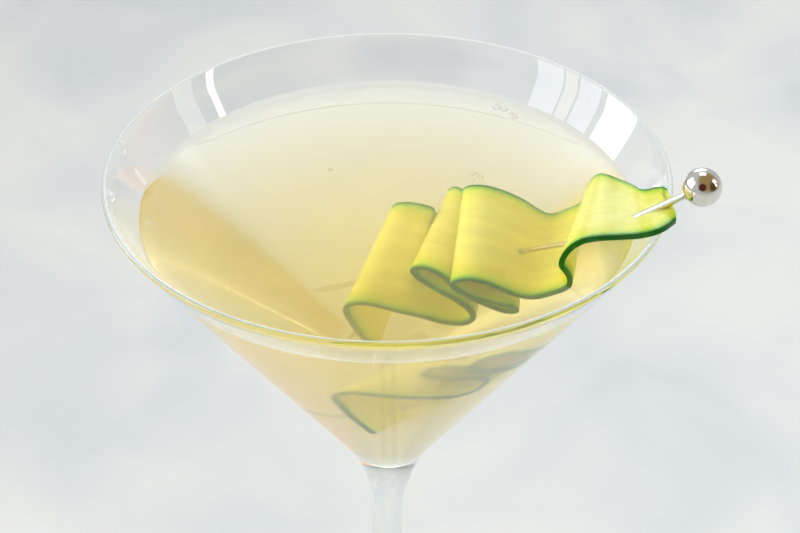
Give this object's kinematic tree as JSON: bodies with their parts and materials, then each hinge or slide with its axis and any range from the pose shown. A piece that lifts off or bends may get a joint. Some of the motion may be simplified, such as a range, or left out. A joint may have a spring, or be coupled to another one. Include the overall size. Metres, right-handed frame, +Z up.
{
  "type": "martini cocktail",
  "caption": "Stemmed cone glass filled with a pale cloudy drink, garnished with a folded cucumber ribbon on a ball-ended steel pick.",
  "frame": {"origin": "centre of the flat underside of the glass's foot", "axes": "+Z up along the stem, +Y away from the viewer, +X to the viewer's right, towards the pick's ball"},
  "size_m": [0.1218, 0.115, 0.191],
  "materials": {
    "clear_glass": "polished",
    "drink": "liquid",
    "cucumber": "moist vegetable flesh with a green skin edge",
    "polished_steel": "mirror polished"
  },
  "bodies": {
    "root": {"martini_glass": "clear_glass", "drink": "drink", "cucumber_ribbon": "cucumber", "cocktail_pick": "polished_steel"}
  },
  "joints": []
}
